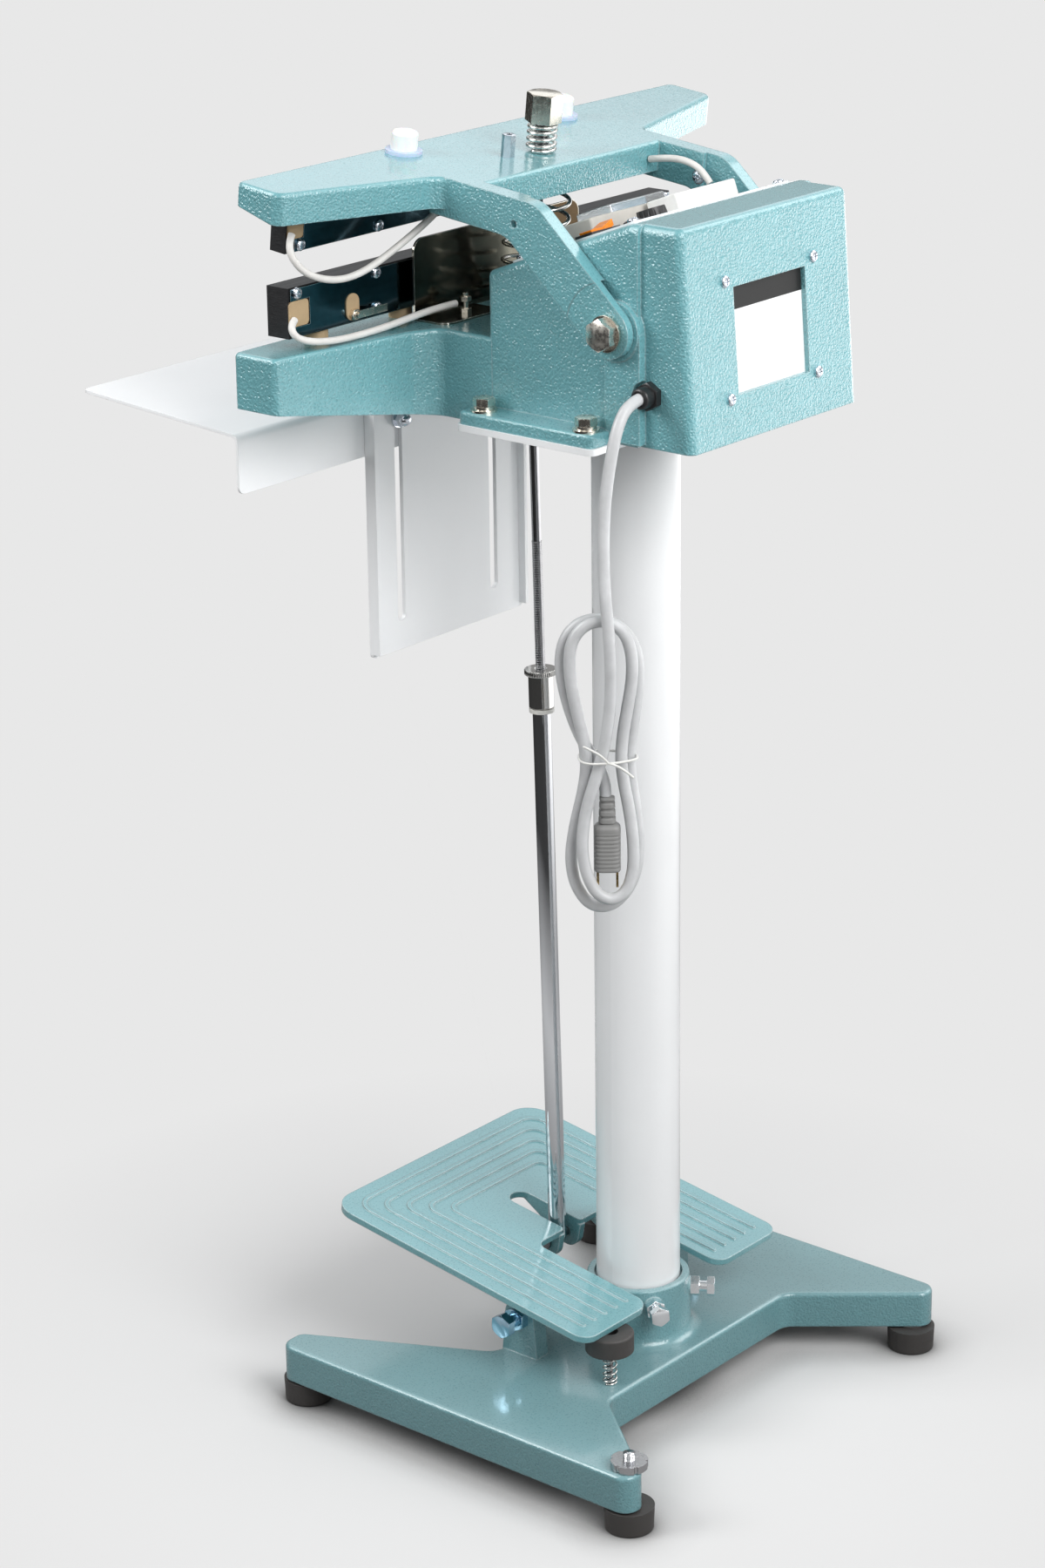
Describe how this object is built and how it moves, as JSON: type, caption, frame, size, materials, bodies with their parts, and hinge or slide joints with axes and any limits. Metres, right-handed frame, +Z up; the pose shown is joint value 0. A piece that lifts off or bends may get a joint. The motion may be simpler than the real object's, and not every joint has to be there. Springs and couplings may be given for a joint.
{
  "type": "foot operated heat sealer",
  "caption": "Pole mounted heat sealer: a pedal and pull rod close a sprung upper jaw onto a fixed heated bar, with a shelf in front.",
  "frame": {"origin": "middle of the floor under the object's box, cord and plug left out", "axes": "+Z up, -Y to the operator (shelf side), +X to the side with the mains cord"},
  "size_m": [0.452, 0.46, 0.9359],
  "materials": {
    "teal_casting": "hammered teal enamel on cast metal",
    "teal_pedal": "hammered teal enamel",
    "white_steel": "gloss white powder coat",
    "rubber": "matt black-brown",
    "zinc": "bright zinc",
    "nickel": "nickel plated",
    "chrome_tube": "polished",
    "steel": "drawn steel",
    "spring_steel": "bright wire",
    "blued_steel": "blued, mirror bright",
    "bar_black": "black anodised, sawn ends",
    "mica": "tan insulating board",
    "white_sleeve": "silicone sleeve",
    "white_plastic": "moulded",
    "nylon": "nylon",
    "panel_white": "satin white",
    "grey_plastic": "light grey moulding",
    "clear_plastic": "clear cover",
    "black_plastic": "black moulding",
    "orange_plastic": "orange paddle",
    "cord_grey": "light grey cord",
    "plug_grey": "grey moulded plug",
    "brass": "flat blades",
    "paper_white": "plain plate"
  },
  "bodies": {
    "frame": {"base_casting": "teal_casting", "rubber_feet": "rubber", "pole_tube": "white_steel", "pole_plate": "white_steel", "set_bolts": "zinc", "locknuts": "zinc", "bumper_screw": "steel", "bumper_spring": "spring_steel", "lower_frame": "teal_casting", "frame_bolts": "nickel", "washers": "nickel", "pivot_bolts": "nickel", "rear_plate": "paper_white", "frame_screws": "zinc", "cable_gland": "black_plastic", "guard_plate": "blued_steel", "terminals": "nickel", "control_panel": "panel_white", "controller_box": "grey_plastic", "controller_cover": "clear_plastic", "junction_box": "white_plastic", "switch_frame_and_lamps": "black_plastic", "lower_bar": "bar_black", "lower_side_plate": "blued_steel", "lower_insulators": "mica", "lower_lead": "white_sleeve", "return_spring": "spring_steel", "slotted_plate": "white_steel", "mains_cord": "cord_grey", "cord_hank": "cord_grey", "cord_tie": "white_plastic", "plug_body": "plug_grey", "plug_blades": "brass"},
    "levelling_foot": {"levelling_foot": "rubber"},
    "levelling_nut": {"levelling_nut": "zinc"},
    "pedal": {"pedal_plate": "teal_pedal", "rod_pin": "steel"},
    "bumper": {"bumper_pad": "rubber"},
    "pull_rod": {"pull_tube": "chrome_tube", "threaded_rod": "steel", "rod_fork": "steel", "nylon_ring": "nylon"},
    "adjusting_nut": {"adjusting_nut": "nickel"},
    "jaw": {"upper_jaw": "teal_casting", "jaw_bushes": "brass", "upper_bar": "bar_black", "upper_side_plate": "blued_steel", "upper_bar_screws": "zinc", "upper_mica_tabs": "mica", "bar_hangers": "steel", "bar_caps": "white_plastic", "standoff_and_wire_clip": "zinc", "upper_leads": "white_sleeve", "pressure_spring": "spring_steel"},
    "pressure_bolt": {"pressure_bolt": "steel"},
    "pressure_nut": {"pressure_nut": "nickel"},
    "shelf": {"shelf": "white_steel", "shelf_clamps": "zinc"},
    "rocker": {"rocker_switch": "orange_plastic"},
    "knob": {"temperature_knob": "black_plastic"}
  },
  "joints": [
    {"name": "pedal_hinge", "type": "hinge", "parent": "frame", "child": "pedal", "pos_m": [0, 0.05, 0.0757], "axis": [1, 0, 0], "range_deg": [0, 24.2], "stiffness_Nm_per_rad": 9, "springref_deg": -51.57, "deforming": ["return_spring"]},
    {"name": "rod_pivot", "type": "hinge", "parent": "pedal", "child": "pull_rod", "pos_m": [0, 0.0127, 0.095], "axis": [1, 0, 0], "range_deg": [-24.9, 0]},
    {"name": "jaw_pivot", "type": "hinge", "parent": "frame", "child": "jaw", "pos_m": [0, 0.1473, 0.8096], "axis": [1, 0, 0], "range_deg": [0, 6.6]},
    {"name": "pressure_travel", "type": "slide", "parent": "jaw", "child": "pressure_bolt", "axis": [0, 0.1149, 0.9934], "range_m": [-0.005, 0], "stiffness_N_per_m": 6000, "springref_m": 0.003, "deforming": ["pressure_spring"]},
    {"name": "pressure_nut_turn", "type": "hinge", "parent": "pressure_bolt", "child": "pressure_nut", "pos_m": [0, 0.0102, 0.91496], "axis": [0, 0.1149, 0.9934], "range_deg": [-720, 720]},
    {"name": "adjusting_nut_turn", "type": "hinge", "parent": "pull_rod", "child": "adjusting_nut", "pos_m": [0, 0.00298, 0.50989], "axis": [0, -0.0234, 0.9997], "range_deg": [-720, 720]},
    {"name": "shelf_height", "type": "slide", "parent": "frame", "child": "shelf", "axis": [0, 0, 1], "range_m": [-0.142, 0.003]},
    {"name": "bumper_travel", "type": "slide", "parent": "frame", "child": "bumper", "axis": [0, 0, 1], "range_m": [-0.006, 0], "stiffness_N_per_m": 2500, "springref_m": 0.002, "deforming": ["bumper_spring"]},
    {"name": "rocker_tilt", "type": "hinge", "parent": "frame", "child": "rocker", "pos_m": [0.062, 0.10611, 0.86331], "axis": [0, 0.9342, 0.3567], "range_deg": [-18, 0]},
    {"name": "knob_turn", "type": "hinge", "parent": "frame", "child": "knob", "pos_m": [0.0175, 0.11692, 0.86584], "axis": [0, -0.3567, 0.9342], "range_deg": [-135, 135]},
    {"name": "levelling_foot_turn", "type": "hinge", "parent": "frame", "child": "levelling_foot", "pos_m": [0.1685, 0.2125, 0.017], "axis": [0, 0, 1], "range_deg": [-720, 720]},
    {"name": "levelling_nut_turn", "type": "hinge", "parent": "frame", "child": "levelling_nut", "pos_m": [0.1685, 0.2125, 0.048], "axis": [0, 0, 1], "range_deg": [-720, 720]}
  ],
  "couplings": [
    {"joint": "rod_pivot", "follows": "pedal_hinge", "ratio": -1.0246},
    {"joint": "jaw_pivot", "follows": "pedal_hinge", "ratio": 0.2723}
  ]
}
